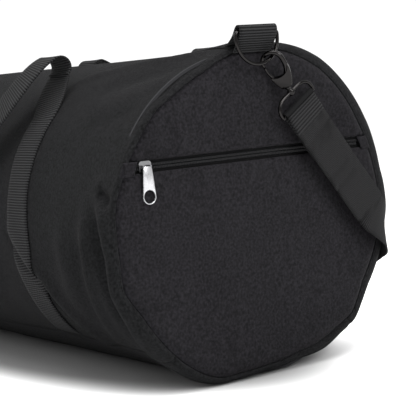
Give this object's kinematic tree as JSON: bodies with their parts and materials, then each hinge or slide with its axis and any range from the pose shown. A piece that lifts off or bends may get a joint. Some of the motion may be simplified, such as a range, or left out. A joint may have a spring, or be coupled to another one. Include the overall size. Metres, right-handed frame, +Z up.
{
  "type": "duffel bag",
  "caption": "Barrel duffel bag of black canvas: zipped mouth along the top, flat zipped pocket on one round end, webbing carry handles, and a shoulder strap on snap hooks.",
  "frame": {"origin": "middle of the flat strip of base that the bag rests on", "axes": "X along the barrel with +X at the pocket end, Y across with -Y the side seen with the pocket end, +Z up"},
  "size_m": [0.621, 0.3372, 0.3043],
  "materials": {
    "body_canvas": "plain-weave polyester canvas, matt black",
    "end_canvas": "plain-weave polyester canvas, charcoal black",
    "webbing": "ribbed polypropylene webbing, black",
    "zip_tape": "woven zip tape, black",
    "zip_coil": "nylon coil, black",
    "binding_tape": "grosgrain seam binding",
    "slider_metal": "nickel-plated zinc",
    "pull_metal": "satin nickel-plated zinc",
    "black_nickel": "polished black nickel",
    "moulded_black": "moulded acetal, black"
  },
  "bodies": {
    "bag": {"base_panel": "body_canvas", "side_panel_front": "body_canvas", "side_panel_back": "body_canvas", "seam_binding_pocket_end": "binding_tape", "seam_binding_plain_end": "binding_tape", "mouth_zip_end_pocket_end": "zip_tape", "mouth_zip_tab_pocket_end": "body_canvas", "mouth_zip_end_plain_end": "zip_tape", "mouth_zip_tab_plain_end": "body_canvas", "end_upper_panel": "end_canvas", "pocket_front_panel": "end_canvas", "pocket_back_panel": "end_canvas", "end_panel_plain": "end_canvas", "pocket_zip_tape_lower": "zip_tape", "pocket_zip_coil_lower": "zip_coil", "pocket_zip_tape_upper": "zip_tape", "pocket_zip_coil_upper": "zip_coil", "pocket_zip_tab_front": "body_canvas", "pocket_zip_tab_back": "body_canvas", "handle_strip_front_pocket_end": "webbing", "handle_strip_front_plain_end": "webbing", "handle_strip_back_pocket_end": "webbing", "handle_strip_back_plain_end": "webbing", "strap_loop_pocket_end": "black_nickel", "strap_loop_plain_end": "black_nickel", "swivel_stud_pocket_end": "black_nickel", "swivel_stud_plain_end": "black_nickel", "ring_tab_pocket_end": "webbing", "ring_tab_plain_end": "webbing", "shoulder_strap": "webbing", "strap_fold_pocket_end": "webbing", "strap_fold_plain_end": "webbing", "strap_sewn_end": "webbing", "strap_return": "webbing", "strap_adjuster": "moulded_black"},
    "mouth_flap_front": {"mouth_flap_front": "body_canvas", "mouth_zip_tape_front": "zip_tape", "mouth_zip_coil_front": "zip_coil"},
    "mouth_flap_back": {"mouth_flap_back": "body_canvas", "mouth_zip_tape_back": "zip_tape", "mouth_zip_coil_back": "zip_coil"},
    "mouth_slider": {"mouth_zip_slider": "slider_metal"},
    "mouth_pull": {"mouth_zip_pull": "pull_metal"},
    "pocket_slider": {"pocket_zip_slider": "slider_metal"},
    "pocket_pull": {"pocket_zip_pull": "pull_metal"},
    "handle_front": {"handle_loop_front": "webbing"},
    "handle_back": {"handle_loop_back": "webbing"},
    "ring_pocket_end": {"d_ring_pocket_end": "black_nickel"},
    "hook_pocket_end": {"hook_body_pocket_end": "black_nickel", "gate_pin_pocket_end": "black_nickel"},
    "gate_pocket_end": {"hook_gate_pocket_end": "black_nickel"},
    "ring_plain_end": {"d_ring_plain_end": "black_nickel"},
    "hook_plain_end": {"hook_body_plain_end": "black_nickel", "gate_pin_plain_end": "black_nickel"},
    "gate_plain_end": {"hook_gate_plain_end": "black_nickel"}
  },
  "joints": [
    {"name": "flap_front_fold", "type": "hinge", "parent": "bag", "child": "mouth_flap_front", "pos_m": [0, -0.066, 0.27097], "axis": [1, 0, 0], "range_deg": [0, 52]},
    {"name": "flap_back_fold", "type": "hinge", "parent": "bag", "child": "mouth_flap_back", "pos_m": [0, 0.066, 0.27097], "axis": [-1, 0, 0], "range_deg": [0, 52]},
    {"name": "mouth_slider_run", "type": "slide", "parent": "bag", "child": "mouth_slider", "axis": [1, 0, 0], "range_m": [0, 0.474]},
    {"name": "mouth_pull_swing", "type": "hinge", "parent": "mouth_slider", "child": "mouth_pull", "pos_m": [-0.237, 0, 0.28906], "axis": [0, 1, 0], "range_deg": [0, 150]},
    {"name": "pocket_slider_run", "type": "slide", "parent": "bag", "child": "pocket_slider", "axis": [0, 1, 0], "range_m": [0, 0.146]},
    {"name": "pocket_pull_swing", "type": "hinge", "parent": "pocket_slider", "child": "pocket_pull", "pos_m": [0.2922, -0.11297, 0.19586], "axis": [0, -1, 0], "range_deg": [0, 110]},
    {"name": "handle_front_lift", "type": "hinge", "parent": "bag", "child": "handle_front", "pos_m": [0, -0.08958, 0.28523], "axis": [-1, 0, 0], "range_deg": [0, 120]},
    {"name": "handle_back_lift", "type": "hinge", "parent": "bag", "child": "handle_back", "pos_m": [0, 0.08958, 0.28523], "axis": [1, 0, 0], "range_deg": [0, 120]},
    {"name": "ring_pocket_end_swing", "type": "hinge", "parent": "bag", "child": "ring_pocket_end", "pos_m": [0.301, 0.004, 0.30086], "axis": [0, 1, 0], "range_deg": [-2.5, 2.5]},
    {"name": "hook_pocket_end_swivel", "type": "hinge", "parent": "bag", "child": "hook_pocket_end", "pos_m": [0.301, 0.02117, 0.27131], "axis": [0, -0.5592, 0.829], "range_deg": [-12, 8]},
    {"name": "gate_pocket_end_press", "type": "hinge", "parent": "hook_pocket_end", "child": "gate_pocket_end", "pos_m": [0.29541, 0.02416, 0.25934], "axis": [-0.6018, 0.6621, 0.4466], "range_deg": [0, 25], "stiffness_Nm_per_rad": 0.01, "springref_deg": -20.05},
    {"name": "ring_plain_end_swing", "type": "hinge", "parent": "bag", "child": "ring_plain_end", "pos_m": [-0.301, 0.004, 0.30086], "axis": [0, -1, 0], "range_deg": [-2.5, 2.5]},
    {"name": "hook_plain_end_swivel", "type": "hinge", "parent": "bag", "child": "hook_plain_end", "pos_m": [-0.301, 0.02117, 0.27131], "axis": [0, 0.5592, -0.829], "range_deg": [-12, 8]},
    {"name": "gate_plain_end_press", "type": "hinge", "parent": "hook_plain_end", "child": "gate_plain_end", "pos_m": [-0.29541, 0.02416, 0.25934], "axis": [-0.6018, -0.6621, -0.4466], "range_deg": [0, 25], "stiffness_Nm_per_rad": 0.01, "springref_deg": -20.05}
  ]
}
